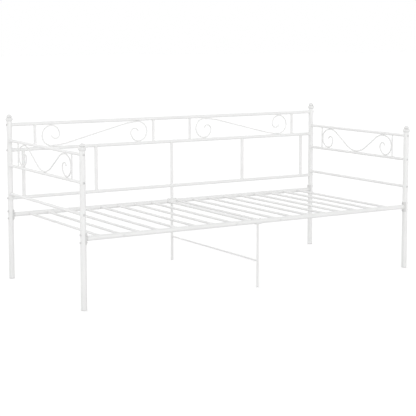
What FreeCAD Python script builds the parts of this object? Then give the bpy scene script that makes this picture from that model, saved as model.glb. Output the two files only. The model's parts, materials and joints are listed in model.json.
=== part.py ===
import FreeCAD, Part
import math
import os
import Sketcher

# A steel daybed: four tube posts with turned finials, a back panel and two end panels with
# scrolls, and a deck of tube slats on side rails with a centre support.
# Origin on the floor at the middle of the bed. X runs along the bed, +Y is the back, +Z is up.

SIZES = {
    # posts, measured between their centres
    "bed_length": 2050,
    "bed_depth": 910,
    "post_outer": 30,
    "post_bore": 27,
    "rear_post_top": 870,
    "front_post_top": 783,
    # turned finial on each post
    "finial_collar": 2.5,
    "finial_ball_radius": 12,
    "finial_groove_outer": 23,
    "finial_groove_height": 23.5,
    "finial_dome_outer": 31,
    "finial_dome_start": 25.5,
    "finial_height": 39,
    "plug_depth": 12,
    "plug_play": 0.3,
    # foot caps
    "cap_thickness": 4,
    "cap_chamfer": 1,
    # back panel
    "back_rail_outer": 19,
    "back_rail_bore": 16,
    "back_top_height": 852,
    "back_middle_height": 712.5,
    "back_bottom_height": 448,
    "upper_bar_outer": 16,
    "upper_bar_bore": 13.6,
    "upper_bar_outer_reach": 874,
    "upper_bar_inner_reach": 125,
    "lower_bar_outer": 19,
    "lower_bar_bore": 16.6,
    "lower_bar_outer_reach": 945,
    "lower_bar_inner_reach": 500,
    "centre_bar_outer": 18,
    "centre_bar_bore": 15.4,
    # end panels
    "end_rail_outer": 16,
    "end_rail_bore": 13,
    "end_top_height": 766,
    "end_middle_height": 629,
    "end_bottom_height": 473,
    "end_bar_outer": 8,
    # scrolls of bent rod
    "scroll_rod": 8,
    "back_scroll_pitch": 550,
    "back_scroll_slope": 14.2,
    "back_scroll_inner_radius": 49,
    "back_scroll_hook_radius": 25,
    "end_scroll_slope": 34,
    "end_scroll_top_reach": 249.6,
    "end_scroll_shoulder_radius": 110,
    "end_scroll_shoulder_turn": 25,
    "end_scroll_inner_radius": 47,
    "end_scroll_hook_radius": 22,
    "scroll_hook_turn": 165,
    # side rails, their saddle brackets and splices
    "side_rail_height": 355.6,
    "side_rail_outer": 25,
    "side_rail_bore": 22,
    "side_rail_gap": 21,
    "side_rail_joint": 0.5,
    "sleeve_outer": 21.6,
    "sleeve_bore": 18.6,
    "stub_length": 230,
    "splice_length": 320,
    "saddle_height": 56,
    "saddle_plate": 3,
    "saddle_cut": 6,
    "saddle_bolt_offset": 19.5,
    # deck slats
    "slat_outer": 14,
    "slat_bore": 11.6,
    "slat_pitch": 111,
    "slat_first_reach": 30,
    # centre support
    "front_leg_outer": 12,
    "front_leg_bore": 9.6,
    "rear_leg_outer": 16,
    "rear_leg_bore": 13.6,
    "link_bar_height": 142.5,
    "link_bar_outer": 10,
    "link_bar_bore": 7.6,
    "cradle_plate": 3,
    "cradle_length": 38,
    "strut_top_height": 422,
    "spigot_length": 25,
    "spigot_bore": 12.6,
    "spigot_play": 0.2,
    # bolts and threaded inserts
    "bolt_shank": 6,
    "bolt_hole": 6.6,
    "bolt_head": 13,
    "bolt_head_height": 4.5,
    "panel_bolt_grip": 44,
    "saddle_bolt_grip": 34,
    "rail_bolt_grip": 38,
    "insert_length": 18,
    "insert_play": 0.1,
    "thread_play": 0.2,
}

SLATS_PER_HALF = 9
BOLTED_SLATS = (2, 8)
SIDES = (("left", -1), ("right", 1))
ENDS = (("front", -1), ("rear", 1))

doc = FreeCAD.newDocument("daybed")
sheet = doc.addObject("Spreadsheet::Sheet", "sizes")
for row, (alias, amount) in enumerate(SIZES.items(), start=1):
    sheet.set(f"A{row}", alias)
    sheet.set(f"B{row}", str(amount))
    sheet.setAlias(f"B{row}", alias)

derived = doc.addObject("App::VarSet", "derived")
probe = doc.addObject("App::VarSet", "probe")
probe.addProperty("App::PropertyFloat", "result")
doc.recompute()

nodes = []


def derive(name, formula):
    """A length worked out from the sheet, kept as a bound property that other formulas can use."""
    derived.addProperty("App::PropertyFloat", name)
    derived.setExpression(name, formula)
    derived.recompute()


def number(formula):
    """The present value of a formula, which a sketch starts from before its constraints are bound."""
    probe.setExpression("result", formula)
    probe.recompute()
    return probe.result


def new_body(label):
    body = doc.addObject("PartDesign::Body", label)
    body.Label = label
    return body


def origin_feature(body, role):
    return next(part for part in body.Origin.OriginFeatures if part.Role == role)


# For each direction, the origin plane it is normal to and the two directions in that plane.
PLANES = {
    "X": ("YZ_Plane", "Y", "Z"),
    "Y": ("XZ_Plane", "X", "Z"),
    "Z": ("XY_Plane", "X", "Y"),
}


def new_sketch(body, name, normal, offset=None):
    sketch = body.newObject("Sketcher::SketchObject", name)
    sketch.AttachmentSupport = [(origin_feature(body, PLANES[normal][0]), "")]
    sketch.MapMode = "FlatFace"
    if offset is not None:
        sketch.setExpression("AttachmentOffset.Base.z", offset)
    return sketch


def bind(sketch, index, name, formula):
    sketch.renameConstraint(index, name)
    sketch.setExpression(f"Constraints.{name}", formula)


def hold_point(sketch, name, element, point, across, up):
    """Fixes a point of a sketch by its distances from the origin, bound to two formulas."""
    for kind, formula, axis in (("DistanceX", across, -2), ("DistanceY", up, -1)):
        amount = number(formula)
        if abs(amount) < 1e-9:
            sketch.addConstraint(Sketcher.Constraint("PointOnObject", element, point, axis))
            continue
        index = sketch.addConstraint(Sketcher.Constraint(kind, -1, 1, element, point, amount))
        bind(sketch, index, f"{name}_{kind}", formula)


def circle(sketch, name, diameter, across="0", up="0"):
    centre = FreeCAD.Vector(number(across), number(up), 0)
    ring = sketch.addGeometry(Part.Circle(centre, FreeCAD.Vector(0, 0, 1), number(diameter) / 2))
    index = sketch.addConstraint(Sketcher.Constraint("Diameter", ring, number(diameter)))
    bind(sketch, index, f"{name}_diameter", diameter)
    hold_point(sketch, name, ring, 3, across, up)
    return ring


def outline(sketch, name, corners):
    """A closed outline. Each corner is (across, up) or (across, up, what arc leads to it).

    The arc is given by its radius, or by "axis" where its centre lies on the sketch's upright axis.
    """
    count = len(corners)
    places = [FreeCAD.Vector(number(c[0]), number(c[1]), 0) for c in corners]
    edges = []
    for i in range(count):
        start = places[i - 1]
        end = places[i]
        if len(corners[i]) == 2:
            edges.append(sketch.addGeometry(Part.LineSegment(start, end)))
            continue
        chord = end - start
        domed = corners[i][2] == "axis"
        if domed:
            centre_height = (end.Length**2 - start.Length**2) / (2 * chord.y)
            radius = abs(end.y - centre_height)
        else:
            radius = number(corners[i][2])
        side = FreeCAD.Vector(chord.y, -chord.x, 0).normalize()
        sagitta = radius - math.sqrt(radius**2 - (chord.Length / 2) ** 2)
        middle = (start + end) / 2 + side * sagitta
        edges.append(sketch.addGeometry(Part.Arc(start, middle, end)))
        if domed:
            sketch.addConstraint(Sketcher.Constraint("PointOnObject", edges[-1], 3, -2))
        else:
            index = sketch.addConstraint(Sketcher.Constraint("Radius", edges[-1], radius))
            bind(sketch, index, f"{name}_{i}_radius", corners[i][2])
    ends = []
    for i, edge in enumerate(edges):
        arc = len(corners[i]) == 3
        first = sketch.getPoint(edge, 1)
        forward = not arc or (first - places[i - 1]).Length < 1e-6
        ends.append((1, 2) if forward else (2, 1))
    for i, edge in enumerate(edges):
        following = (i + 1) % count
        joint = Sketcher.Constraint("Coincident", edge, ends[i][1], edges[following], ends[following][0])
        sketch.addConstraint(joint)
        hold_point(sketch, f"{name}_{i}", edge, ends[i][1], corners[i][0], corners[i][1])


def pad(body, name, sketch, length, symmetric=False):
    feature = body.newObject("PartDesign::Pad", name)
    feature.Profile = sketch
    feature.SideType = "Symmetric" if symmetric else "One side"
    feature.setExpression("Length", length)
    return feature


def cut_through(body, name, sketch):
    """Cuts a sketch through the whole body both ways, and makes sure that it took something off."""
    doc.recompute()
    before = body.Shape.Volume
    feature = body.newObject("PartDesign::Pocket", name)
    feature.Profile = sketch
    feature.SideType = "Symmetric"
    feature.Type = "ThroughAll"
    doc.recompute()
    if not body.Shape.Volume < before - 1e-3:
        raise RuntimeError(f"{body.Label}: {name} cuts nothing")
    return feature


def revolve(body, name, sketch):
    feature = body.newObject("PartDesign::Revolution", name)
    feature.Profile = sketch
    feature.ReferenceAxis = (sketch, ["V_Axis"])
    feature.Angle = 360
    return feature


def place(thing, x="0", y="0", z="0", axis=None, angle=None):
    """Binds a placement to formulas, with an optional turn about an axis."""
    if axis is not None:
        thing.Placement = FreeCAD.Placement(
            FreeCAD.Vector(), FreeCAD.Rotation(FreeCAD.Vector(*axis), number(angle))
        )
        thing.setExpression("Placement.Rotation.Angle", angle)
    for letter, formula in (("x", x), ("y", y), ("z", z)):
        thing.setExpression(f"Placement.Base.{letter}", formula)


def keep(thing):
    nodes.append(thing)
    return thing


def tube_section(body, name, normal, outer, bore=None, offset=None):
    sketch = new_sketch(body, name, normal, offset)
    circle(sketch, "outer", outer)
    if bore is not None:
        circle(sketch, "bore", bore)
    return sketch


def along(normal, run, reach):
    """The two sketch coordinates of a point at a distance along run, in the plane normal to normal."""
    return (reach, "0") if PLANES[normal][1] == run else ("0", reach)


def spanning_tube(label, run, outer, bore, reach, across, notches):
    """A tube between two round members whose centres are reach apart, with its ends coped round them.

    across is the direction of those members and notches their diameters at the low and high end.
    """
    body = new_body(label)
    section = tube_section(body, f"{label}_section", run, outer, bore)
    pad(body, f"{label}_tube", section, reach, symmetric=True)
    copes = new_sketch(body, f"{label}_copes", across)
    for end, sign, diameter in (("low", "-", notches[0]), ("high", "", notches[1])):
        circle(copes, end, diameter, *along(across, run, f"{sign}({reach}) / 2"))
    cut_through(body, f"{label}_coping", copes)
    return body


def standing_tube(label, outer, bore, low, high):
    """An upright tube between two heights above its own origin."""
    body = new_body(label)
    section = tube_section(body, f"{label}_section", "Z", outer, bore, low)
    pad(body, f"{label}_tube", section, f"{high} - ({low})")
    return body


def cross_holes(body, name, normal, diameter, places):
    """Holes through the body along one direction, at (across, up) places of the plane normal to it."""
    sketch = new_sketch(body, f"{body.Label}_{name}", normal)
    for i, (across, up) in enumerate(places):
        circle(sketch, f"hole_{i}", diameter, across, up)
    cut_through(body, f"{body.Label}_{name}_cut", sketch)


def rectangle(sketch, name, low_across, high_across, low_up, high_up):
    corners = [(low_across, low_up), (high_across, low_up), (high_across, high_up), (low_across, high_up)]
    outline(sketch, name, corners)


# ---- posts, finials and foot caps

BACK_HEIGHTS = {
    "top": "sizes.back_top_height",
    "middle": "sizes.back_middle_height",
    "bottom": "sizes.back_bottom_height",
}
END_HEIGHTS = {
    "top": "sizes.end_top_height",
    "middle": "sizes.end_middle_height",
    "bottom": "sizes.end_bottom_height",
}
SADDLE_HEIGHTS = [
    "sizes.side_rail_height - sizes.saddle_bolt_offset",
    "sizes.side_rail_height + sizes.saddle_bolt_offset",
]


def signed(sign, formula):
    return f"{sign} * ({formula})"


def post_x(side):
    return signed(side, "sizes.bed_length / 2")


def post_y(end):
    return signed(end, "sizes.bed_depth / 2")


def make_post(end_name, end, side_name, side):
    label = f"post_{end_name}_{side_name}"
    body = standing_tube(
        label, "sizes.post_outer", "sizes.post_bore", "sizes.cap_thickness", f"sizes.{end_name}_post_top"
    )
    lengthwise = list(SADDLE_HEIGHTS)
    if end_name == "rear":
        lengthwise += BACK_HEIGHTS.values()
    cross_holes(body, "lengthwise_holes", "X", "sizes.bolt_hole", [("0", z) for z in lengthwise])
    cross_holes(body, "crosswise_holes", "Y", "sizes.bolt_hole", [("0", z) for z in END_HEIGHTS.values()])
    place(body, post_x(side), post_y(end))
    keep(body)


derive("plug_radius", "sizes.post_bore / 2 - sizes.plug_play")


def make_finial(end_name, end, side_name, side):
    label = f"finial_{end_name}_{side_name}"
    body = new_body(label)
    profile = new_sketch(body, f"{label}_profile", "Y")
    outline(
        profile,
        "turned",
        [
            ("0", "-sizes.plug_depth"),
            ("derived.plug_radius", "-sizes.plug_depth"),
            ("derived.plug_radius", "0"),
            ("sizes.post_outer / 2", "0"),
            ("sizes.post_outer / 2", "sizes.finial_collar"),
            ("sizes.finial_groove_outer / 2", "sizes.finial_groove_height", "sizes.finial_ball_radius"),
            ("sizes.finial_dome_outer / 2", "sizes.finial_dome_start"),
            ("0", "sizes.finial_height", "axis"),
        ],
    )
    revolve(body, f"{label}_turning", profile)
    place(body, post_x(side), post_y(end), f"sizes.{end_name}_post_top")
    keep(body)


def gather(label, things):
    """One node made of several separate things."""
    group = doc.addObject("Part::Compound", label)
    group.Label = label
    group.Links = things
    return group


def link_group(label, master, placements):
    """Links to the same piece at different places, gathered."""
    links = []
    for i, where in enumerate(placements):
        link = doc.addObject("App::Link", f"{label}_{i + 1}")
        link.LinkedObject = master
        place(link, **where)
        links.append(link)
    return gather(label, links)


def make_cap(label, outer, plug_radius):
    """A foot cap: a disc as wide as its tube, with a plug that goes up inside."""
    body = new_body(label)
    profile = new_sketch(body, f"{label}_profile", "Y")
    outline(
        profile,
        "cap",
        [
            ("0", "0"),
            (f"{outer} / 2 - sizes.cap_chamfer", "0"),
            (f"{outer} / 2", "sizes.cap_chamfer"),
            (f"{outer} / 2", "sizes.cap_thickness"),
            (plug_radius, "sizes.cap_thickness"),
            (plug_radius, "sizes.cap_thickness + sizes.plug_depth"),
            ("0", "sizes.cap_thickness + sizes.plug_depth"),
        ],
    )
    revolve(body, f"{label}_turning", profile)
    return body


for end_name, end in ENDS:
    for side_name, side in SIDES:
        make_post(end_name, end, side_name, side)
        make_finial(end_name, end, side_name, side)

post_cap = make_cap("post_cap", "sizes.post_outer", "derived.plug_radius")
keep(
    link_group(
        "post_foot_caps",
        post_cap,
        [{"x": post_x(side), "y": post_y(end)} for _, end in ENDS for _, side in SIDES],
    )
)


# ---- back panel

for level, height in BACK_HEIGHTS.items():
    rail = spanning_tube(
        f"back_rail_{level}",
        "X",
        "sizes.back_rail_outer",
        "sizes.back_rail_bore",
        "sizes.bed_length",
        "Z",
        ("sizes.post_outer", "sizes.post_outer"),
    )
    place(rail, y=post_y(1), z=height)
    keep(rail)

derive("upper_gap", "sizes.back_top_height - sizes.back_middle_height")
derive("lower_gap", "sizes.back_middle_height - sizes.back_bottom_height")
derive("upper_middle", "(sizes.back_top_height + sizes.back_middle_height) / 2")
derive("lower_middle", "(sizes.back_middle_height + sizes.back_bottom_height) / 2")
BACK_NOTCHES = ("sizes.back_rail_outer", "sizes.back_rail_outer")

for band in ("upper", "lower"):
    bar = spanning_tube(
        f"back_{band}_bar",
        "Z",
        f"sizes.{band}_bar_outer",
        f"sizes.{band}_bar_bore",
        f"derived.{band}_gap",
        "X",
        BACK_NOTCHES,
    )
    reaches = [f"sizes.{band}_bar_outer_reach", f"sizes.{band}_bar_inner_reach"]
    places = [
        {"x": signed(side, reach), "y": post_y(1), "z": f"derived.{band}_middle"}
        for _, side in SIDES
        for reach in reaches
    ]
    keep(link_group(f"back_{band}_bars", bar, places))

centre_bar = spanning_tube(
    "back_centre_bar",
    "Z",
    "sizes.centre_bar_outer",
    "sizes.centre_bar_bore",
    "derived.lower_gap",
    "X",
    BACK_NOTCHES,
)
place(centre_bar, y=post_y(1), z="derived.lower_middle")


def make_centre_stub():
    """A short tube under the middle of the bottom rail, with a spigot that the strut's top fits over."""
    body = new_body("back_centre_stub")
    profile = new_sketch(body, "stub_profile", "Y")
    spigot_radius = "(sizes.centre_bar_bore / 2 - sizes.spigot_play)"
    spigot_end = "sizes.strut_top_height - sizes.spigot_length"
    outline(
        profile,
        "stub",
        [
            ("sizes.spigot_bore / 2", spigot_end),
            (spigot_radius, spigot_end),
            (spigot_radius, "sizes.strut_top_height"),
            ("sizes.centre_bar_outer / 2", "sizes.strut_top_height"),
            ("sizes.centre_bar_outer / 2", "sizes.back_bottom_height"),
            ("sizes.spigot_bore / 2", "sizes.back_bottom_height"),
        ],
    )
    revolve(body, "stub_turning", profile)
    cope = new_sketch(body, "stub_cope", "X")
    circle(cope, "rail", "sizes.back_rail_outer", "0", "sizes.back_bottom_height")
    cut_through(body, "stub_coping", cope)
    place(body, y=post_y(1))
    return body


keep(gather("back_centre_bars", [centre_bar, make_centre_stub()]))


# ---- scrolls of bent rod


def bent_path(sketch, moves):
    """A chain of tangent lines and arcs from the origin, starting along the sketch's first axis.

    A move is ("line", length) or ("arc", radius, turn in degrees, +1 to the left or -1 to the right).
    """
    here = FreeCAD.Vector()
    heading = 0.0
    previous = None
    for i, move in enumerate(moves):
        ahead = FreeCAD.Vector(math.cos(heading), math.sin(heading), 0)
        if move[0] == "line":
            length = number(move[1])
            there = here + ahead * length
            edge = sketch.addGeometry(Part.LineSegment(here, there))
            index = sketch.addConstraint(Sketcher.Constraint("Distance", edge, length))
            bind(sketch, index, f"length_{i}", move[1])
            start, end = 1, 2
        else:
            _, radius_formula, turn_formula, side = move
            radius = number(radius_formula)
            turn = math.radians(number(turn_formula))
            inward = FreeCAD.Vector(-ahead.y, ahead.x, 0) * side
            centre = here + inward * radius
            first = math.atan2(here.y - centre.y, here.x - centre.x)
            last = first + side * turn
            round_trip = (first, last) if side > 0 else (last, first)
            full = Part.Circle(centre, FreeCAD.Vector(0, 0, 1), radius)
            edge = sketch.addGeometry(Part.ArcOfCircle(full, *round_trip))
            index = sketch.addConstraint(Sketcher.Constraint("Radius", edge, radius))
            bind(sketch, index, f"radius_{i}", radius_formula)
            index = sketch.addConstraint(Sketcher.Constraint("Angle", edge, turn))
            bind(sketch, index, f"turn_{i}", f"{turn_formula} * 1 deg")
            start, end = (1, 2) if side > 0 else (2, 1)
            there = centre + FreeCAD.Vector(math.cos(last), math.sin(last), 0) * radius
            heading += side * turn
        if previous is None:
            sketch.addConstraint(Sketcher.Constraint("Coincident", edge, start, -1, 1))
            if move[0] == "line":
                sketch.addConstraint(Sketcher.Constraint("Horizontal", edge))
            else:
                sketch.addConstraint(Sketcher.Constraint("PointOnObject", edge, 3, -2))
        else:
            sketch.addConstraint(Sketcher.Constraint("Tangent", *previous, edge, start))
        previous = (edge, end)
        here = there


def rod_along(body, path_normal, start_normal, moves):
    """A round rod swept along a bent path, starting square to it at the body's origin."""
    label = body.Label
    path = new_sketch(body, f"{label}_path", path_normal)
    bent_path(path, moves)
    section = new_sketch(body, f"{label}_section", start_normal)
    circle(section, "rod", "sizes.scroll_rod")
    doc.recompute()
    sweep = body.newObject("PartDesign::AdditivePipe", f"{label}_rod")
    sweep.Profile = section
    sweep.Spine = path
    return sweep


def sway_sum(reach, rise, slope):
    """Sum of the two bend radii that join two level stretches by a straight of the given slope."""
    return f"(({reach}) * sin({slope}) - ({rise}) * cos({slope})) / (1 - cos({slope}))"


def sway_straight(reach, rise, slope):
    """Length of the straight between those two bends."""
    return f"({rise}) * (1 + cos({slope})) / sin({slope}) - ({reach})"


derive("back_loop_radius", "(derived.upper_gap - sizes.back_rail_outer - sizes.scroll_rod) / 2")
BACK_SWAY = ("sizes.back_scroll_pitch", "2 * derived.back_loop_radius", "sizes.back_scroll_slope * 1 deg")
derive("back_sway_radius", f"({sway_sum(*BACK_SWAY)}) / 2")
derive("back_half_straight", f"({sway_straight(*BACK_SWAY)}) / 2")
derive("back_scroll_middle", "(sizes.upper_bar_outer_reach + sizes.upper_bar_inner_reach) / 2")


def make_back_scroll(side_name, side):
    """An S of two equal spirals: one half is swept from the middle, and the other is that turned round."""
    label = f"back_scroll_{side_name}"
    body = new_body(label)
    sweep = rod_along(
        body,
        "Y",
        "X",
        [
            ("line", "derived.back_half_straight"),
            ("arc", "derived.back_sway_radius", "sizes.back_scroll_slope", side),
            ("arc", "derived.back_loop_radius", "180", side),
            ("arc", "sizes.back_scroll_inner_radius", "90", side),
            ("arc", "sizes.back_scroll_hook_radius", "sizes.scroll_hook_turn", side),
        ],
    )
    both = body.newObject("PartDesign::PolarPattern", f"{label}_halves")
    both.Originals = [sweep]
    both.Axis = (origin_feature(body, "Y_Axis"), [""])
    both.Angle = 360
    both.Occurrences = 2
    body.Tip = both
    place(
        body,
        signed(side, "derived.back_scroll_middle"),
        post_y(1),
        "derived.upper_middle",
        axis=(0, side, 0),
        angle="sizes.back_scroll_slope",
    )
    keep(body)


for side_name, side in SIDES:
    make_back_scroll(side_name, side)


# ---- end panels

derive("end_gap", "sizes.end_top_height - sizes.end_middle_height")
derive("end_middle", "(sizes.end_top_height + sizes.end_middle_height) / 2")
derive("end_rise", "derived.end_gap - sizes.end_rail_outer - sizes.scroll_rod")
derive("end_valley_height", "sizes.end_middle_height + (sizes.end_rail_outer + sizes.scroll_rod) / 2")
END_SWAY = ("sizes.end_scroll_top_reach", "derived.end_rise", "sizes.end_scroll_slope * 1 deg")
derive("end_valley_radius", f"{sway_sum(*END_SWAY)} - sizes.end_scroll_shoulder_radius")
derive("end_straight", sway_straight(*END_SWAY))
derive("shoulder_sine", "sin(sizes.end_scroll_shoulder_turn * 1 deg)")
derive("shoulder_cosine", "cos(sizes.end_scroll_shoulder_turn * 1 deg)")
derive(
    "end_loop_radius",
    "(derived.end_rise - sizes.end_scroll_shoulder_radius * (1 - derived.shoulder_cosine))"
    " / (1 + derived.shoulder_cosine)",
)
derive(
    "end_scroll_reach",
    "sizes.end_scroll_top_reach + sizes.end_scroll_shoulder_radius * derived.shoulder_sine"
    " + derived.end_loop_radius * (1 - derived.shoulder_sine)",
)
derive("end_bar_reach", "derived.end_scroll_reach + (sizes.scroll_rod + sizes.end_bar_outer) / 2")


def make_end_scroll(side_name, side):
    """Half of the scroll runs from the valley in the middle up to the top rail and round; it is mirrored."""
    label = f"end_scroll_{side_name}"
    body = new_body(label)
    sweep = rod_along(
        body,
        "X",
        "Y",
        [
            ("arc", "derived.end_valley_radius", "sizes.end_scroll_slope", 1),
            ("line", "derived.end_straight"),
            (
                "arc",
                "sizes.end_scroll_shoulder_radius",
                "(sizes.end_scroll_slope + sizes.end_scroll_shoulder_turn)",
                -1,
            ),
            ("arc", "derived.end_loop_radius", "(180 - sizes.end_scroll_shoulder_turn)", -1),
            ("arc", "sizes.end_scroll_inner_radius", "90", -1),
            ("arc", "sizes.end_scroll_hook_radius", "sizes.scroll_hook_turn", -1),
        ],
    )
    both = body.newObject("PartDesign::Mirrored", f"{label}_halves")
    both.Originals = [sweep]
    both.MirrorPlane = (origin_feature(body, "XZ_Plane"), [""])
    body.Tip = both
    place(body, post_x(side), "0", "derived.end_valley_height")
    keep(body)


end_bar = spanning_tube(
    "end_bar",
    "Z",
    "sizes.end_bar_outer",
    None,
    "derived.end_gap",
    "Y",
    ("sizes.end_rail_outer", "sizes.end_rail_outer"),
)
for side_name, side in SIDES:
    for level, height in END_HEIGHTS.items():
        rail = spanning_tube(
            f"end_rail_{side_name}_{level}",
            "Y",
            "sizes.end_rail_outer",
            "sizes.end_rail_bore",
            "sizes.bed_depth",
            "Z",
            ("sizes.post_outer", "sizes.post_outer"),
        )
        place(rail, x=post_x(side), z=height)
        keep(rail)
    make_end_scroll(side_name, side)
    bar_places = [
        {"x": post_x(side), "y": signed(end, "derived.end_bar_reach"), "z": "derived.end_middle"}
        for _, end in ENDS
    ]
    keep(link_group(f"end_bars_{side_name}", end_bar, bar_places))


# ---- side rails, splices and saddle brackets

derive("rail_outer_end", "sizes.bed_length / 2 - sizes.side_rail_gap")
derive("rail_length", "derived.rail_outer_end - sizes.side_rail_joint / 2")


def slat_reach(position):
    """Distance of a slat from the middle of the bed, counted from the outermost one."""
    return f"(sizes.slat_first_reach + {SLATS_PER_HALF - position} * sizes.slat_pitch)"


def make_side_rail(end_name, end, side_name, side):
    """Half of a side rail: a tube from the middle joint to near the post, drilled where slats are bolted."""
    label = f"side_rail_{end_name}_{side_name}"
    body = new_body(label)
    section = tube_section(body, f"{label}_section", "X", "sizes.side_rail_outer", "sizes.side_rail_bore")
    pad(body, f"{label}_tube", section, "derived.rail_length", symmetric=True)
    middle = "(derived.rail_outer_end + sizes.side_rail_joint / 2) / 2"
    holes = [(signed(side, f"{slat_reach(position)} - {middle}"), "0") for position in BOLTED_SLATS]
    cross_holes(body, "bolt_holes", "Y", "sizes.bolt_hole", holes)
    place(body, signed(side, middle), post_y(end), "sizes.side_rail_height")
    keep(body)


def make_splice():
    """A sleeve inside the two halves of a side rail."""
    body = new_body("splice_tube")
    section = tube_section(body, "splice_section", "X", "sizes.sleeve_outer", "sizes.sleeve_bore")
    pad(body, "splice_sleeve", section, "sizes.splice_length", symmetric=True)
    reach = slat_reach(BOLTED_SLATS[1])
    cross_holes(body, "holes", "Y", "sizes.bolt_hole", [(reach, "0"), (f"-{reach}", "0")])
    return body


derive("saddle_inner", "sizes.post_outer")
derive("saddle_outer", "sizes.post_outer + 2 * sizes.saddle_plate")


def make_saddle_bracket():
    """A curved plate that fits the inner side of a post, with a stub that slides into the side rail.

    Its own origin is on the post's axis, and the stub points along +X.
    """
    body = new_body("saddle_bracket")
    plate = new_sketch(body, "saddle_plate_section", "Z")
    circle(plate, "outer", "derived.saddle_outer")
    circle(plate, "inner", "derived.saddle_inner")
    pad(body, "saddle_plate_ring", plate, "sizes.saddle_height", symmetric=True)
    away = new_sketch(body, "saddle_plate_trim", "Z")
    rectangle(
        away,
        "outer_side",
        "-derived.saddle_outer",
        "sizes.saddle_cut",
        "-derived.saddle_outer",
        "derived.saddle_outer",
    )
    cut_through(body, "saddle_plate_half", away)
    stub_start = "sizes.post_outer / 2 + sizes.saddle_plate / 2"
    stub = tube_section(body, "stub_section", "X", "sizes.sleeve_outer", "sizes.sleeve_bore", stub_start)
    pad(body, "stub", stub, "sizes.stub_length")
    cross_holes(
        body,
        "plate_holes",
        "X",
        "sizes.bolt_shank + sizes.thread_play",
        [("0", "-sizes.saddle_bolt_offset"), ("0", "sizes.saddle_bolt_offset")],
    )
    bolted = f"sizes.bed_length / 2 - {slat_reach(BOLTED_SLATS[0])}"
    cross_holes(body, "stub_holes", "Y", "sizes.bolt_hole", [(bolted, "0")])
    return body


def turned(side):
    """A turn about Z that points +X towards the middle of the bed."""
    return {"axis": (0, 0, 1), "angle": "180"} if side > 0 else {}


for end_name, end in ENDS:
    for side_name, side in SIDES:
        make_side_rail(end_name, end, side_name, side)

saddle_places = [
    {"x": post_x(side), "y": post_y(end), "z": "sizes.side_rail_height", **turned(side)}
    for _, end in ENDS
    for _, side in SIDES
]
keep(link_group("saddle_brackets", make_saddle_bracket(), saddle_places))
splice_places = [{"y": post_y(end), "z": "sizes.side_rail_height"} for _, end in ENDS]
keep(link_group("splice_tubes", make_splice(), splice_places))


# ---- deck slats

for side_name, side in SIDES:
    for position in range(1, SLATS_PER_HALF + 1):
        slat = spanning_tube(
            f"slat_{side_name}_{position}",
            "Y",
            "sizes.slat_outer",
            "sizes.slat_bore",
            "sizes.bed_depth",
            "X",
            ("sizes.side_rail_outer", "sizes.side_rail_outer"),
        )
        place(slat, x=signed(side, slat_reach(position)), z="sizes.side_rail_height")
        keep(slat)


# ---- centre support


def add_cradle(body, height, kept_above):
    """A half sleeve round a side rail at a height, on its upper or lower half."""
    label = body.Label
    outer = "sizes.side_rail_outer + 2 * sizes.cradle_plate"
    shell = new_sketch(body, f"{label}_cradle_section", "X")
    circle(shell, "outer", outer, "0", height)
    pad(body, f"{label}_cradle", shell, "sizes.cradle_length", symmetric=True)
    room = new_sketch(body, f"{label}_cradle_room", "X")
    circle(room, "rail", "sizes.side_rail_outer", "0", height)
    cut_through(body, f"{label}_cradle_bore", room)
    other_half = new_sketch(body, f"{label}_cradle_trim", "X")
    reach = f"(({outer}) / 2 + 1)"
    below = (f"{height} - {reach}", height)
    above = (height, f"{height} + {reach}")
    rectangle(other_half, "half", f"-{reach}", reach, *(below if kept_above else above))
    cut_through(body, f"{label}_cradle_half", other_half)


def make_leg(end_name, end):
    """A centre leg from its foot cap to the underside of a side rail, with a cradle that holds the rail."""
    label = f"centre_leg_{end_name}"
    body = standing_tube(
        label,
        f"sizes.{end_name}_leg_outer",
        f"sizes.{end_name}_leg_bore",
        "sizes.cap_thickness",
        "sizes.side_rail_height",
    )
    add_cradle(body, "sizes.side_rail_height", kept_above=False)
    place(body, y=post_y(end))
    keep(body)


def make_strut():
    """The short strut that stands on the rear side rail and carries the middle of the back panel."""
    body = standing_tube(
        "centre_strut",
        "sizes.centre_bar_outer",
        "sizes.centre_bar_bore",
        "sizes.side_rail_height",
        "sizes.strut_top_height",
    )
    add_cradle(body, "sizes.side_rail_height", kept_above=True)
    place(body, y=post_y(1))
    keep(body)


for end_name, end in ENDS:
    make_leg(end_name, end)
make_strut()

link_bar = spanning_tube(
    "centre_link_bar",
    "Y",
    "sizes.link_bar_outer",
    "sizes.link_bar_bore",
    "sizes.bed_depth",
    "Z",
    ("sizes.front_leg_outer", "sizes.rear_leg_outer"),
)
place(link_bar, z="sizes.link_bar_height")
keep(link_bar)

leg_caps = []
for end_name, end in ENDS:
    cap = make_cap(
        f"leg_cap_{end_name}",
        f"sizes.{end_name}_leg_outer",
        f"(sizes.{end_name}_leg_bore / 2 - sizes.plug_play)",
    )
    place(cap, y=post_y(end))
    leg_caps.append(cap)
keep(gather("leg_foot_caps", leg_caps))


# ---- bolts and inserts


def make_bolt(label, grip):
    """A bolt with a domed head: its head's underside is at the origin and its shank runs along -Z."""
    body = new_body(label)
    profile = new_sketch(body, f"{label}_profile", "Y")
    outline(
        profile,
        "bolt",
        [
            ("0", f"-{grip}"),
            ("sizes.bolt_shank / 2", f"-{grip}"),
            ("sizes.bolt_shank / 2", "0"),
            ("sizes.bolt_head / 2", "0"),
            ("0", "sizes.bolt_head_height", "axis"),
        ],
    )
    revolve(body, f"{label}_turning", profile)
    return body


def facing_x(side):
    """A turn that points the bolt's head along +X or -X."""
    return {"axis": (0, side, 0), "angle": "90"}


def facing_y(end):
    return {"axis": (-end, 0, 0), "angle": "90"}


def outside_x(side, outer="sizes.post_outer"):
    return signed(side, f"(sizes.bed_length + {outer}) / 2")


def outside_y(end, outer):
    return signed(end, f"(sizes.bed_depth + {outer}) / 2")


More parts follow.
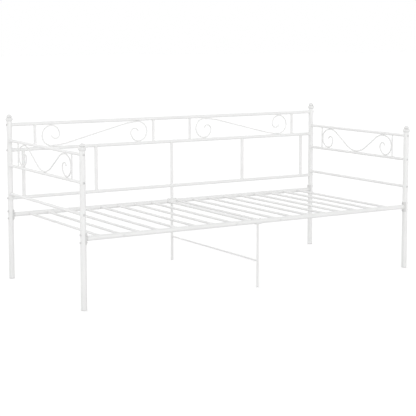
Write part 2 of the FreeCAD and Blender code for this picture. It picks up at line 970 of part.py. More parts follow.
panel_places = []
for _, side in SIDES:
    for height in BACK_HEIGHTS.values():
        panel_places.append({"x": outside_x(side), "y": post_y(1), "z": height, **facing_x(side)})
    for _, end in ENDS:
        for height in END_HEIGHTS.values():
            head = {"x": post_x(side), "y": outside_y(end, "sizes.post_outer"), "z": height}
            panel_places.append({**head, **facing_y(end)})
keep(link_group("panel_bolts", make_bolt("panel_bolt", "sizes.panel_bolt_grip"), panel_places))

saddle_bolt_places = [
    {"x": outside_x(side), "y": post_y(end), "z": height, **facing_x(side)}
    for _, side in SIDES
    for _, end in ENDS
    for height in SADDLE_HEIGHTS
]
keep(link_group("saddle_bolts", make_bolt("saddle_bolt", "sizes.saddle_bolt_grip"), saddle_bolt_places))

rail_bolt_places = [
    {
        "x": signed(side, slat_reach(position)),
        "y": outside_y(end, "sizes.side_rail_outer"),
        "z": "sizes.side_rail_height",
        **facing_y(end),
    }
    for _, side in SIDES
    for _, end in ENDS
    for position in BOLTED_SLATS
]
keep(link_group("rail_bolts", make_bolt("rail_bolt", "sizes.rail_bolt_grip"), rail_bolt_places))


def make_insert(label, bore):
    """A threaded plug fixed in the end of a tube: its outer face is at the origin and it runs along -Z."""
    body = new_body(label)
    section = new_sketch(body, f"{label}_section", "Z")
    circle(section, "outer", f"{bore} - sizes.insert_play")
    circle(section, "thread", "sizes.bolt_shank + sizes.thread_play")
    solid = pad(body, f"{label}_plug", section, "sizes.insert_length")
    solid.Reversed = True
    return body


back_insert_places = [
    {"x": outside_x(side, "-sizes.post_outer"), "y": post_y(1), "z": height, **facing_x(side)}
    for _, side in SIDES
    for height in BACK_HEIGHTS.values()
]
end_insert_places = [
    {"x": post_x(side), "y": outside_y(end, "-sizes.post_outer"), "z": height, **facing_y(end)}
    for _, side in SIDES
    for _, end in ENDS
    for height in END_HEIGHTS.values()
]
slat_insert_places = [
    {
        "x": signed(side, slat_reach(position)),
        "y": outside_y(end, "-sizes.side_rail_outer"),
        "z": "sizes.side_rail_height",
        **facing_y(end),
    }
    for _, side in SIDES
    for _, end in ENDS
    for position in BOLTED_SLATS
]
INSERTS = (
    ("back_rail_insert", "sizes.back_rail_bore", back_insert_places),
    ("end_rail_insert", "sizes.end_rail_bore", end_insert_places),
    ("slat_insert", "sizes.slat_bore", slat_insert_places),
)
insert_groups = [link_group(f"{name}s", make_insert(name, bore), where) for name, bore, where in INSERTS]
keep(gather("threaded_inserts", insert_groups))


# ---- check everything and write it

doc.recompute()
for thing in doc.Objects:
    if "Invalid" in thing.State or "Error" in thing.State:
        raise RuntimeError(f"{thing.Label} did not build: {thing.State}")
for node in nodes:
    if node.Shape.isNull() or not node.Shape.isValid() or not node.Shape.Solids:
        raise RuntimeError(f"{node.Label} has no valid solid")

os.makedirs("parts", exist_ok=True)
for node in nodes:
    node.Shape.exportStep(f"parts/{node.Label}.step")
total = sum(node.Shape.Volume for node in nodes)
print(f"{len(nodes)} nodes, {sum(len(node.Shape.Solids) for node in nodes)} solids, {total / 1e6:.3f} litres")
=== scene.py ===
import json
import math

import bmesh
import bpy
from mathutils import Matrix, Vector


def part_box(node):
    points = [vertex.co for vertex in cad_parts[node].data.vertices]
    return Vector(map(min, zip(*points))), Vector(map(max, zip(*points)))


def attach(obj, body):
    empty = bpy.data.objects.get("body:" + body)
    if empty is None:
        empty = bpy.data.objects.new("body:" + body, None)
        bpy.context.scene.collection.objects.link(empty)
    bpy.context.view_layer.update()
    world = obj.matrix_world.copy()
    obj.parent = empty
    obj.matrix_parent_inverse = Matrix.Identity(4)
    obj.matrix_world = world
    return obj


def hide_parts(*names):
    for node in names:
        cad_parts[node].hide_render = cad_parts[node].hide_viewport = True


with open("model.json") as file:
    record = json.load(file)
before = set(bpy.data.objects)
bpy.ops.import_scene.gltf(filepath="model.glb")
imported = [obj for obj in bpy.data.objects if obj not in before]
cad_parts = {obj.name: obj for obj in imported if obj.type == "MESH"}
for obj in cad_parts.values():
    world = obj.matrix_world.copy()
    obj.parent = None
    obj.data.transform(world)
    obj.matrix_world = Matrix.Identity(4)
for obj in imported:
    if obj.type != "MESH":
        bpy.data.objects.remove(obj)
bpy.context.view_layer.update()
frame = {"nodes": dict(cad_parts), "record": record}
nodes = frame["nodes"]
scene = bpy.context.scene

MM = 0.001
X = Vector((1, 0, 0))
Y = Vector((0, 1, 0))
Z = Vector((0, 0, 1))


# ---- materials


def node_tree(name):
    material = bpy.data.materials.new(name)
    material.use_nodes = True
    tree = material.node_tree
    return material, tree, tree.nodes["Principled BSDF"]


def noise(tree, position, scale, detail=2.0, roughness=0.5):
    texture = tree.nodes.new("ShaderNodeTexNoise")
    texture.inputs["Scale"].default_value = scale
    texture.inputs["Detail"].default_value = detail
    texture.inputs["Roughness"].default_value = roughness
    tree.links.new(position, texture.inputs["Vector"])
    return texture.outputs["Fac"]


def mapped(tree, value, low, high, start=0.3, end=0.7):
    """Spreads a noise value between two numbers."""
    spread = tree.nodes.new("ShaderNodeMapRange")
    spread.inputs["From Min"].default_value = start
    spread.inputs["From Max"].default_value = end
    spread.inputs["To Min"].default_value = low
    spread.inputs["To Max"].default_value = high
    tree.links.new(value, spread.inputs["Value"])
    return spread.outputs["Result"]


def tinted(tree, value, dark, light):
    """A colour between two, by a value from 0 to 1."""
    mix = tree.nodes.new("ShaderNodeMix")
    mix.data_type = "RGBA"
    mix.inputs["A"].default_value = (*dark, 1)
    mix.inputs["B"].default_value = (*light, 1)
    tree.links.new(value, mix.inputs["Factor"])
    return mix.outputs["Result"]


def raised(tree, shader, height, strength, distance):
    """Bumps on the surface, from a height value."""
    bump = tree.nodes.new("ShaderNodeBump")
    bump.inputs["Strength"].default_value = strength
    bump.inputs["Distance"].default_value = distance
    tree.links.new(height, bump.inputs["Height"])
    tree.links.new(bump.outputs["Normal"], shader.inputs["Normal"])


# Noise scales are in cycles per metre.
CLOUD_SCALE = 9.0
GLOSS_SCALE = 60.0
GRAIN_FINENESS = 4
GRAIN_SHARE = 0.25
PEEL_STRENGTH = 0.35
COAT_ROUGHNESS = 0.15


def coated(name, dark, light, rough_low, rough_high, peel_scale, peel_height, coat=0.0):
    """A sprayed or moulded white finish: faint cloudiness, uneven gloss and a fine orange peel."""
    material, tree, shader = node_tree(name)
    position = tree.nodes.new("ShaderNodeTexCoord").outputs["Object"]
    cloud = mapped(tree, noise(tree, position, CLOUD_SCALE, 3.0), 0.0, 1.0)
    tree.links.new(tinted(tree, cloud, dark, light), shader.inputs["Base Color"])
    gloss = mapped(tree, noise(tree, position, GLOSS_SCALE, 3.0), rough_low, rough_high)
    tree.links.new(gloss, shader.inputs["Roughness"])
    shader.inputs["Coat Weight"].default_value = coat
    shader.inputs["Coat Roughness"].default_value = COAT_ROUGHNESS
    peel = noise(tree, position, peel_scale, 2.0, 0.4)
    grain = noise(tree, position, peel_scale * GRAIN_FINENESS, 1.0)
    together = tree.nodes.new("ShaderNodeMath")
    together.operation = "MULTIPLY_ADD"
    together.inputs[1].default_value = GRAIN_SHARE
    tree.links.new(grain, together.inputs[0])
    tree.links.new(peel, together.inputs[2])
    raised(tree, shader, together.outputs["Value"], PEEL_STRENGTH, peel_height)
    return material


# Stretches the noise along X and Y, so that it makes lines.
DRAWN_STRETCH = (0.05, 0.05, 1.0)
DRAWN_SCALE = 900.0
DRAWN_STRENGTH = 0.2
DRAWN_DEPTH = 0.02 * MM


def plain_steel(name):
    """Drawn steel with fine lines along X and Y, for the parts inside the tubes."""
    material, tree, shader = node_tree(name)
    position = tree.nodes.new("ShaderNodeTexCoord").outputs["Object"]
    lines = tree.nodes.new("ShaderNodeMapping")
    lines.inputs["Scale"].default_value = DRAWN_STRETCH
    tree.links.new(position, lines.inputs["Vector"])
    drawn = noise(tree, lines.outputs["Vector"], DRAWN_SCALE, 3.0)
    shade = mapped(tree, drawn, 0.0, 1.0)
    tree.links.new(tinted(tree, shade, (0.50, 0.50, 0.50), (0.64, 0.64, 0.64)), shader.inputs["Base Color"])
    shader.inputs["Metallic"].default_value = 1.0
    tree.links.new(mapped(tree, drawn, 0.28, 0.42), shader.inputs["Roughness"])
    raised(tree, shader, drawn, DRAWN_STRENGTH, DRAWN_DEPTH)
    return material


MATERIALS = {
    "powder_coat": coated(
        "powder_coat", (0.845, 0.845, 0.84), (0.87, 0.87, 0.865), 0.34, 0.44, 520, 0.12 * MM
    ),
    "finial_gloss": coated(
        "finial_gloss", (0.79, 0.79, 0.785), (0.81, 0.81, 0.805), 0.20, 0.28, 260, 0.05 * MM, coat=0.3
    ),
    "bolt_finish": coated(
        "bolt_finish", (0.68, 0.68, 0.675), (0.74, 0.74, 0.735), 0.26, 0.38, 900, 0.05 * MM
    ),
    "foot_plastic": coated(
        "foot_plastic", (0.70, 0.70, 0.69), (0.74, 0.74, 0.73), 0.45, 0.6, 1200, 0.08 * MM
    ),
    "plain_steel": plain_steel("plain_steel"),
}

for subpart in frame["record"]["subparts"]:
    for material_slot in nodes[subpart["node"]].material_slots:
        material_slot.material = MATERIALS[subpart["material_slot"]]


# ---- pieces


# Edges sharper than this stay crisp on bolts, nuts and the saddle plates' welds.
CRISP_ANGLE = math.radians(35)


def piece(name, mesh_maker, slot):
    """Makes a new piece from a function that fills a bmesh."""
    form = bmesh.new()
    mesh_maker(form)
    bmesh.ops.recalc_face_normals(form, faces=form.faces)
    mesh = bpy.data.meshes.new(name)
    form.to_mesh(mesh)
    form.free()
    mesh.shade_smooth()
    mesh.materials.append(MATERIALS[slot])
    thing = bpy.data.objects.new(name, mesh)
    scene.collection.objects.link(thing)
    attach(thing, "root")
    return thing


def bridge(form, ring_a, ring_b):
    count = len(ring_a)
    for i in range(count):
        j = (i + 1) % count
        form.faces.new((ring_a[i], ring_a[j], ring_b[j], ring_b[i]))


BEAD_SIDES = 8


def bead(form, path, outward, radius, ripple, ripples):
    """A closed weld bead along a ring of points.

    outward holds the direction away from the ring's middle at each point.
    """
    count = len(path)
    rings = []
    for i, point in enumerate(path):
        ahead = (path[(i + 1) % count] - path[i - 1]).normalized()
        away = outward[i] - ahead * outward[i].dot(ahead)
        away.normalize()
        up = ahead.cross(away)
        swell = radius * (1 + ripple * math.sin(2 * math.pi * ripples * i / count))
        ring = []
        for k in range(BEAD_SIDES):
            turn = 2 * math.pi * k / BEAD_SIDES
            ring.append(form.verts.new(point + (away * math.cos(turn) + up * math.sin(turn)) * swell))
        rings.append(ring)
    for i in range(count):
        bridge(form, rings[i - 1], rings[i])


BEAD_STEPS = 36
BEAD_RIPPLE = 0.09
BEAD_RIPPLES = 9
# How far a bead's middle stands off the bar and the rail, as a share of its radius.
BEAD_LIFT = 0.25


def joint_bead(form, centre, bar_axis, rail_axis, bar_radius, rail_radius, radius):
    """The bead where a round bar ends on a round rail.

    bar_axis points from the rail's centre along the bar.
    """
    across = bar_axis.cross(rail_axis)
    reach = bar_radius + BEAD_LIFT * radius
    path = []
    outward = []
    for i in range(BEAD_STEPS):
        turn = 2 * math.pi * i / BEAD_STEPS
        side = rail_axis * math.cos(turn) + across * math.sin(turn)
        drop = max(rail_radius**2 - (reach * math.sin(turn)) ** 2, 0.0)
        path.append(centre + side * reach + bar_axis * (math.sqrt(drop) + BEAD_LIFT * radius))
        outward.append(side)
    bead(form, path, outward, radius, BEAD_RIPPLE, BEAD_RIPPLES)


TACK_ROWS = 10
TACK_SIDES = 12
TACK_RIPPLE = 0.08
TACK_RIPPLES = 6


def tack(form, point, along, width_axis, length, width, height):
    """A short raised weld, longest along the seam, with a few ripples."""
    third = along.cross(width_axis)
    rings = []
    for row in range(1, TACK_ROWS):
        polar = math.pi * row / TACK_ROWS
        swell = 1 + TACK_RIPPLE * math.sin(TACK_RIPPLES * polar)
        ring = []
        for k in range(TACK_SIDES):
            turn = 2 * math.pi * k / TACK_SIDES
            offset = (
                along * (math.cos(polar) * length / 2)
                + width_axis * (math.sin(polar) * math.cos(turn) * width / 2 * swell)
                + third * (math.sin(polar) * math.sin(turn) * height / 2 * swell)
            )
            ring.append(form.verts.new(point + offset))
        rings.append(ring)
    for ring_a, ring_b in zip(rings, rings[1:]):
        bridge(form, ring_a, ring_b)
    for ring, end in ((rings[0], along), (rings[-1], -along)):
        tip = form.verts.new(point + end * (length / 2))
        for k in range(TACK_SIDES):
            form.faces.new((ring[k], ring[(k + 1) % TACK_SIDES], tip))


# Axes and radii of the CAD tubes, read from their boxes.


def middle(node):
    low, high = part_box(node)
    return (low + high) / 2


def half_size(node, axis):
    low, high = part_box(node)
    return (high - low).dot(axis) / 2


SIDES = (("left", -1), ("right", 1))
ENDS = (("front", -1), ("rear", 1))
LEVELS = ("top", "middle", "bottom")

back_height = {level: middle(f"back_rail_{level}").z for level in LEVELS}
end_height = {level: middle(f"end_rail_left_{level}").z for level in LEVELS}
post_reach_x = middle("post_rear_right").x
post_reach_y = middle("post_rear_right").y
post_radius = half_size("post_rear_right", X)
back_rail_radius = half_size("back_rail_top", Z)
end_rail_radius = half_size("end_rail_left_top", Z)
side_rail_radius = half_size("side_rail_front_left", Z)
side_rail_height = middle("side_rail_front_left").z
slat_radius = half_size("slat_left_1", X)
BOLTED_SLATS = (2, 8)
SLATS_PER_HALF = 9


# Weld beads where bars, slats, legs and scrolls meet their rails.

UPPER_BAR_RADIUS = 8 * MM
UPPER_BAR_REACHES = (874 * MM, 125 * MM)
LOWER_BAR_RADIUS = 9.5 * MM
LOWER_BAR_REACHES = (945 * MM, 500 * MM)
CENTRE_BAR_RADIUS = 9 * MM
END_BAR_RADIUS = 4 * MM
end_bar_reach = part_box("end_bars_left")[1].y - END_BAR_RADIUS
BEAD = 1.5 * MM
FINE_BEAD = 1.1 * MM


def back_beads(form):
    bands = (
        ("middle", "top", UPPER_BAR_RADIUS, UPPER_BAR_REACHES),
        ("bottom", "middle", LOWER_BAR_RADIUS, LOWER_BAR_REACHES),
    )
    for low, high, radius, reaches in bands:
        for reach in reaches:
            for x in (-reach, reach):
                for level, up in ((low, Z), (high, -Z)):
                    centre = Vector((x, post_reach_y, back_height[level]))
                    joint_bead(form, centre, up, X, radius, back_rail_radius, BEAD)
    for level, up in (("middle", -Z), ("bottom", Z), ("bottom", -Z)):
        centre = Vector((0, post_reach_y, back_height[level]))
        joint_bead(form, centre, up, X, CENTRE_BAR_RADIUS, back_rail_radius, BEAD)


def end_beads(form):
    for _, side in SIDES:
        for _, end in ENDS:
            for level, up in (("middle", Z), ("top", -Z)):
                centre = Vector((side * post_reach_x, end * end_bar_reach, end_height[level]))
                joint_bead(form, centre, up, Y, END_BAR_RADIUS, end_rail_radius, FINE_BEAD)


def slat_beads(form):
    for side_name, _ in SIDES:
        for position in range(1, SLATS_PER_HALF + 1):
            if position in BOLTED_SLATS:
                continue
            x = middle(f"slat_{side_name}_{position}").x
            for _, end in ENDS:
                centre = Vector((x, end * post_reach_y, side_rail_height))
                joint_bead(form, centre, Y * -end, X, slat_radius, side_rail_radius, FINE_BEAD)


CRADLE_RADIUS = side_rail_radius + 3 * MM
link_height = middle("centre_link_bar").z
link_radius = half_size("centre_link_bar", Z)
LEG_RADII = {"front": 6 * MM, "rear": 8 * MM}


def leg_beads(form):
    for end_name, end in ENDS:
        radius = LEG_RADII[end_name]
        rail = Vector((0, end * post_reach_y, side_rail_height))
        joint_bead(form, rail, -Z, X, radius, CRADLE_RADIUS, BEAD)
        leg = Vector((0, end * post_reach_y, link_height))
        joint_bead(form, leg, Y * -end, Z, link_radius, radius, FINE_BEAD)
    strut = Vector((0, post_reach_y, side_rail_height))
    joint_bead(form, strut, Z, X, CENTRE_BAR_RADIUS, CRADLE_RADIUS, BEAD)


ROD = 4 * MM
SCROLL_MIDDLE = (UPPER_BAR_REACHES[0] + UPPER_BAR_REACHES[1]) / 2
HALF_PITCH = 275 * MM
TACK_LENGTH = 15 * MM
TACK_WIDTH = 3.4 * MM
TACK_HEIGHT = 2.6 * MM
# How far the two welds of a pair stand from the rod's middle.
TACK_OFFSET = 1.9 * MM


def tack_pair(form, point, along, across):
    """Welds on both sides of the place where a rod touches a rail."""
    for face in (-1, 1):
        spot = point + across * (face * TACK_OFFSET)
        tack(form, spot, along, across, TACK_LENGTH, TACK_WIDTH, TACK_HEIGHT)


def scroll_tacks(form):
    top = back_height["top"] - back_rail_radius
    bottom = back_height["middle"] + back_rail_radius
    for _, side in SIDES:
        for reach in (SCROLL_MIDDLE - HALF_PITCH, SCROLL_MIDDLE + HALF_PITCH):
            for height in (top, bottom):
                tack_pair(form, Vector((side * reach, post_reach_y, height)), X, Y)
    end_top = end_height["top"] - end_rail_radius
    end_bottom = end_height["middle"] + end_rail_radius
    scroll_reach = end_bar_reach - END_BAR_RADIUS - ROD
    loop_radius, loop_y = end_loop(end_top - end_bottom - 2 * ROD, scroll_reach)
    for _, side in SIDES:
        x = side * post_reach_x
        tack_pair(form, Vector((x, 0, end_bottom)), Y, X)
        for _, end in ENDS:
            tack_pair(form, Vector((x, end * END_TOP_REACH, end_top)), Y, X)
            tack_pair(form, Vector((x, end * loop_y, end_bottom)), Y, X)
            outer = Vector((x, end * (end_bar_reach - END_BAR_RADIUS), end_bottom + ROD + loop_radius))
            tack_pair(form, outer, Z, X)


END_TOP_REACH = 249.6 * MM
SHOULDER_RADIUS = 110 * MM
SHOULDER_TURN = math.radians(25)


def end_loop(rise, reach):
    """Radius of the end scroll's loop, and the Y distance of its centre."""
    radius = (rise - SHOULDER_RADIUS * (1 - math.cos(SHOULDER_TURN))) / (1 + math.cos(SHOULDER_TURN))
    return radius, reach - radius


piece("back_weld_beads", back_beads, "powder_coat")
piece("end_weld_beads", end_beads, "powder_coat")
piece("slat_weld_beads", slat_beads, "powder_coat")
piece("leg_weld_beads", leg_beads, "powder_coat")
piece("scroll_welds", scroll_tacks, "powder_coat")


# Bolts with domed heads and hexagon sockets, in place of the plain CAD bolts.

HEAD_RADIUS = 6.5 * MM
HEAD_HEIGHT = 4.5 * MM
HEAD_RIM = 0.7 * MM
SOCKET_FLATS = 4.2 * MM
SOCKET_DEPTH = 2.6 * MM
SHANK_RADIUS = 3 * MM
SHANK_CHAMFER = 0.8 * MM
SOCKET_CHAMFER = 0.5 * MM
# The ring that a closed end shrinks to.
POINT = 0.02 * MM
HEAD_STEPS = 36
# Radii of the rings on the dome, as shares of the head's radius.
DOME_SHARES = (0.97, 0.88, 0.76, 0.62, 0.5)


def ring_at(form, base, sides, radii, height):
    """A ring of points round a bolt's axis. radii is a function of the angle."""
    across, upward, axis = sides
    ring = []
    for i in range(HEAD_STEPS):
        turn = 2 * math.pi * i / HEAD_STEPS
        spread = across * math.cos(turn) + upward * math.sin(turn)
        ring.append(form.verts.new(base + spread * radii(turn) + axis * height))
    return ring


def hexagon(flats):
    def radius(turn):
        corner = (turn % (math.pi / 3)) - math.pi / 6
        return flats / 2 / math.cos(corner)

    return radius


def circle(radius):
    return lambda turn: radius


def bolt(form, base, axis, grip):
    """A bolt whose head's underside is at base. axis points out of the head."""
    across = axis.cross(Z).normalized()
    sides = (across, axis.cross(across), axis)
    dome = (HEAD_RADIUS**2 + (HEAD_HEIGHT - HEAD_RIM) ** 2) / (2 * (HEAD_HEIGHT - HEAD_RIM))

    def dome_height(radius):
        return HEAD_RIM + math.sqrt(dome**2 - radius**2) - (dome - (HEAD_HEIGHT - HEAD_RIM))

    profile = [
        (circle(POINT), -grip),
        (circle(SHANK_RADIUS - SHANK_CHAMFER), -grip),
        (circle(SHANK_RADIUS), -grip + SHANK_CHAMFER),
        (circle(SHANK_RADIUS), 0),
        (circle(HEAD_RADIUS), 0),
        (circle(HEAD_RADIUS), HEAD_RIM * 0.8),
    ]
    for share in DOME_SHARES:
        profile.append((circle(HEAD_RADIUS * share), dome_height(HEAD_RADIUS * share)))
    rim = dome_height(SOCKET_FLATS / 2)
    profile += [
        (hexagon(SOCKET_FLATS + SOCKET_CHAMFER), rim - 0.05 * MM),
        (hexagon(SOCKET_FLATS), rim - 0.3 * MM),
        (hexagon(SOCKET_FLATS), rim - SOCKET_DEPTH),
        (circle(POINT), rim - SOCKET_DEPTH - 0.4 * MM),
    ]
    rings = [ring_at(form, base, sides, radii, height) for radii, height in profile]
    for ring_a, ring_b in zip(rings, rings[1:]):
        bridge(form, ring_a, ring_b)
    form.faces.new(rings[0])
    form.faces.new(rings[-1])


SADDLE_BOLT_OFFSET = 19.5 * MM
PANEL_GRIP = 44 * MM
SADDLE_GRIP = 34 * MM
RAIL_GRIP = 38 * MM


def panel_bolts(form):
    for _, side in SIDES:
        for level in LEVELS:
            base = Vector((side * (post_reach_x + post_radius), post_reach_y, back_height[level]))
            bolt(form, base, X * side, PANEL_GRIP)
        for _, end in ENDS:
            for level in LEVELS:
                base = Vector((side * post_reach_x, end * (post_reach_y + post_radius), end_height[level]))
                bolt(form, base, Y * end, PANEL_GRIP)


def saddle_bolts(form):
    for _, side in SIDES:
        for _, end in ENDS:
            for offset in (-SADDLE_BOLT_OFFSET, SADDLE_BOLT_OFFSET):
                x = side * (post_reach_x + post_radius)
                base = Vector((x, end * post_reach_y, side_rail_height + offset))
                bolt(form, base, X * side, SADDLE_GRIP)


def rail_bolts(form):
    for side_name, _ in SIDES:
        for position in BOLTED_SLATS:
            x = middle(f"slat_{side_name}_{position}").x
            for _, end in ENDS:
                base = Vector((x, end * (post_reach_y + side_rail_radius), side_rail_height))
                bolt(form, base, Y * end, RAIL_GRIP)


BOLT_GROUPS = (
    ("panel_bolts", panel_bolts, "bolt_finish"),
    ("saddle_bolts", saddle_bolts, "bolt_finish"),
    ("rail_bolts", rail_bolts, "powder_coat"),
)
for name, maker, finish in BOLT_GROUPS:
    made = piece(f"{name}_detailed", maker, finish)
    made.data.set_sharp_from_angle(angle=CRISP_ANGLE)
    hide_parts(name)


# Weld nuts round the tips of the saddle bolts, domed nuts at the rails' middle joints, and the
# welds of the saddle plates' stubs.

SADDLE_OUTER = post_radius + 3 * MM
STUB_RADIUS = 10.8 * MM
NUT_BORE = 3.1 * MM
NUT_CHAMFER = 0.6 * MM
BORE_CHAMFER = 0.3 * MM
# How far a nut's cut corners stand out from its flats.
CORNER_LEFT = 0.3 * MM
SADDLE_NUT_FLATS = 9 * MM
SADDLE_NUT_HEIGHT = 3.4 * MM
# The nuts sink into the curve of the plate.
SADDLE_NUT_SUNK = 0.8 * MM


def eased(corner, flats):
    """A hexagon whose corners are cut back almost to the flats."""
    return lambda turn: min(corner(turn), flats / 2 + CORNER_LEFT)


def nut(form, base, axis, flats, height):
    """A hexagon nut with chamfered corners. base is the middle of its underside."""
    across = axis.cross(Z).normalized()
    sides = (across, axis.cross(across), axis)
    corner = hexagon(flats)
    profile = [
        (circle(NUT_BORE), 0),
        (corner, 0),
        (corner, height - NUT_CHAMFER),
        (eased(corner, flats), height),
        (circle(NUT_BORE + BORE_CHAMFER), height),
        (circle(NUT_BORE), height - BORE_CHAMFER),
    ]
    rings = [ring_at(form, base, sides, radii, place) for radii, place in profile]
    for ring_a, ring_b in zip(rings, rings[1:] + rings[:1]):
        bridge(form, ring_a, ring_b)


def cap_nut(form, base, flats):
    """A domed nut that points up. base is the middle of its underside."""
    sides = (X, Y, Z)
    corner = hexagon(flats)
    profile = [
        (corner, 0),
        (corner, 3.0 * MM),
        (eased(corner, flats), 3.6 * MM),
        (circle(0.90 * flats / 2), 3.8 * MM),
        (circle(0.86 * flats / 2), 5.4 * MM),
        (circle(0.64 * flats / 2), 6.8 * MM),
        (circle(0.34 * flats / 2), 7.5 * MM),
        (circle(POINT), 7.7 * MM),
    ]
    rings = [ring_at(form, base, sides, radii, place) for radii, place in profile]
    for ring_a, ring_b in zip(rings, rings[1:]):
        bridge(form, ring_a, ring_b)
    form.faces.new(rings[0])
    form.faces.new(rings[-1])


# On top of the side rails, beside the joint of their halves. The rear ones clear the strut's cradle.
JOINT_NUT_REACH = {"front": 15 * MM, "rear": 25 * MM}
JOINT_NUT_FLATS = 11 * MM
JOINT_NUT_SUNK = 1.2 * MM


def joint_nuts(form):
    height = side_rail_height + side_rail_radius - JOINT_NUT_SUNK
    for end_name, end in ENDS:
        for _, side in SIDES:
            x = side * JOINT_NUT_REACH[end_name]
            cap_nut(form, Vector((x, end * post_reach_y, height)), JOINT_NUT_FLATS)


def saddle_nuts(form):
    for _, side in SIDES:
        for _, end in ENDS:
            for offset in (-SADDLE_BOLT_OFFSET, SADDLE_BOLT_OFFSET):
                x = side * (post_reach_x - SADDLE_OUTER + SADDLE_NUT_SUNK)
                base = Vector((x, end * post_reach_y, side_rail_height + offset))
                nut(form, base, X * -side, SADDLE_NUT_FLATS, SADDLE_NUT_HEIGHT)


def saddle_beads(form):
    for _, side in SIDES:
        for _, end in ENDS:
            post = Vector((side * post_reach_x, end * post_reach_y, side_rail_height))
            joint_bead(form, post, X * -side, Z, STUB_RADIUS, SADDLE_OUTER, BEAD)


for name, maker, finish in (
    ("saddle_nuts", saddle_nuts, "bolt_finish"),
    ("joint_nuts", joint_nuts, "powder_coat"),
    ("saddle_weld_beads", saddle_beads, "powder_coat"),
):
    made = piece(name, maker, finish)
    made.data.set_sharp_from_angle(angle=CRISP_ANGLE)


# ---- floor, light and camera


def stage_material(name, near, far, glow):
    """A matt floor whose colour changes from near the bed to far from it. The darker colour near the bed is
    painted shade round and under the bed.
    """
    material, tree, shader = node_tree(name)
    position = tree.nodes.new("ShaderNodeTexCoord").outputs["Object"]
    length = tree.nodes.new("ShaderNodeVectorMath")
    length.operation = "LENGTH"
    tree.links.new(position, length.inputs[0])
    away = mapped(tree, length.outputs["Value"], 0.0, 1.0, NEAR_FLOOR, FAR_FLOOR)
    tree.links.new(tinted(tree, away, near, far), shader.inputs["Base Color"])
    shader.inputs["Roughness"].default_value = 1.0
    shader.inputs["Specular IOR Level"].default_value = 0.0
    shader.inputs["Emission Color"].default_value = (1, 1, 1, 1)
    shader.inputs["Emission Strength"].default_value = glow
    return material


NEAR_FLOOR = 1.0
FAR_FLOOR = 3.5
FLOOR_REACH = 60
FLOOR_CORNERS = ((-1, -1), (1, -1), (1, 1), (-1, 1))


def floor_sheet(name, material, height):
    mesh = bpy.data.meshes.new(name)
    corners = [(x * FLOOR_REACH, y * FLOOR_REACH, height) for x, y in FLOOR_CORNERS]
    mesh.from_pydata(corners, [], [(0, 1, 2, 3)])
    mesh.materials.append(material)
    sheet = bpy.data.objects.new(name, mesh)
    scene.collection.objects.link(sheet)
    return sheet


# The floor that is seen is brighter than the one that reflects light up to the bed.
SEEN_NEAR = (0.84, 0.84, 0.84)
SEEN_FAR = (0.86, 0.86, 0.86)
SEEN_GLOW = 0.27
seen_white = stage_material("floor_white", SEEN_NEAR, SEEN_FAR, SEEN_GLOW)
seen_floor = floor_sheet("studio_floor", seen_white, 0)
seen_floor.visible_diffuse = False
seen_floor.visible_glossy = False
seen_floor.visible_shadow = False
# The floor that throws light up to the bed is darker near the bed: painted shade under and round the bed,
# which dims the bed's lower parts.
BOUNCE_NEAR_SHADE = (0.77, 0.77, 0.77)
BOUNCE_FAR = (0.98, 0.98, 0.98)
BOUNCE_HEIGHT = -5 * MM
bounce_white = stage_material("floor_bounce", BOUNCE_NEAR_SHADE, BOUNCE_FAR, 0.0)
bounce_floor = floor_sheet("studio_bounce", bounce_white, BOUNCE_HEIGHT)
bounce_floor.visible_camera = False

# The studio's walls, which only the bed sees, are darker behind the camera, to its right and overhead.
CAMERA_YAW = 31.830
STUDIO_LIGHT = 1.415
DARKER_BEHIND_CAMERA = 0.881
DARKER_RIGHT = 0.821
DARKER_OVERHEAD = 0.728
BACKDROP = 1.0
world = bpy.data.worlds.new("studio")
world.use_nodes = True
scene.world = world
sky = world.node_tree
background = sky.nodes["Background"]
background.inputs["Color"].default_value = (1, 1, 1, 1)
direction = sky.nodes.new("ShaderNodeTexCoord").outputs["Generated"]


def sky_math(operation, *values):
    """A step of the sum for the studio light. Each value is a number or the result of another step."""
    step = sky.nodes.new("ShaderNodeMath")
    step.operation = operation
    for socket, value in zip(step.inputs, values):
        if isinstance(value, bpy.types.NodeSocket):
            sky.links.new(value, socket)
        else:
            socket.default_value = value
    return step.outputs["Value"]


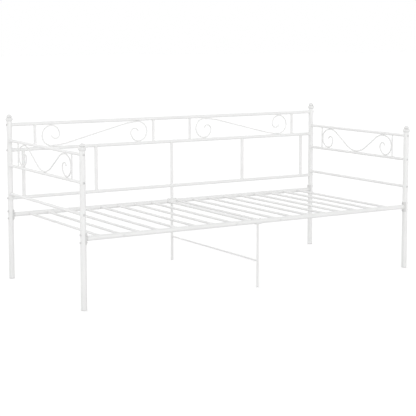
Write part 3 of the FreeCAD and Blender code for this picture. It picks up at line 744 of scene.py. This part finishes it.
def towards(axis):
    """How far the direction of the light points along an axis, squared, and 0 on the other side."""
    product = sky.nodes.new("ShaderNodeVectorMath")
    product.operation = "DOT_PRODUCT"
    product.inputs[1].default_value = axis
    sky.links.new(direction, product.inputs[0])
    part = sky_math("MAXIMUM", product.outputs["Value"], 0.0)
    return sky_math("MULTIPLY", part, part)


yaw = math.radians(CAMERA_YAW)
walls = (
    ((-math.sin(yaw), -math.cos(yaw), 0), DARKER_BEHIND_CAMERA),
    ((math.cos(yaw), -math.sin(yaw), 0), DARKER_RIGHT),
    ((0, 0, 1), DARKER_OVERHEAD),
)
air = STUDIO_LIGHT
for axis, darker in walls:
    air = sky_math("MULTIPLY_ADD", towards(axis), -darker, air)
light_path = sky.nodes.new("ShaderNodeLightPath")
level = sky.nodes.new("ShaderNodeMix")
level.inputs["B"].default_value = BACKDROP
sky.links.new(light_path.outputs["Is Camera Ray"], level.inputs["Factor"])
sky.links.new(air, level.inputs["A"])
sky.links.new(level.outputs["Result"], background.inputs["Strength"])


SUN_DISTANCE = 5


def soft_sun(name, azimuth, elevation, spread, power):
    """Parallel soft light. Azimuth 0 is in front of the bed and 90 to its right."""
    a = math.radians(azimuth)
    e = math.radians(elevation)
    away = Vector((math.sin(a) * math.cos(e), -math.cos(a) * math.cos(e), math.sin(e)))
    data = bpy.data.lights.new(name, "SUN")
    data.angle = math.radians(spread)
    data.energy = power
    lamp = bpy.data.objects.new(name, data)
    lamp.location = away * SUN_DISTANCE
    lamp.rotation_euler = away.to_track_quat("Z", "Y").to_euler()
    scene.collection.objects.link(lamp)


soft_sun("key", -31, 18, 40, 0.42)
soft_sun("fill", 10, 12, 40, 0.76)

LENS = 102.341
SENSOR = 36
CAMERA_PLACE = (-3.5011, -5.5932, 1.3444)
CAMERA_DIP = 6.388
CAMERA_SHIFT = -0.10
camera_data = bpy.data.cameras.new("camera")
camera_data.lens = LENS
camera_data.sensor_width = SENSOR
camera_data.shift_y = CAMERA_SHIFT
camera_data.clip_end = 200
camera = bpy.data.objects.new("camera", camera_data)
camera.location = CAMERA_PLACE
camera.rotation_euler = (math.radians(90 - CAMERA_DIP), 0, math.radians(-CAMERA_YAW))
scene.collection.objects.link(camera)
scene.camera = camera

scene.view_settings.view_transform = "Standard"
scene.view_settings.look = "None"
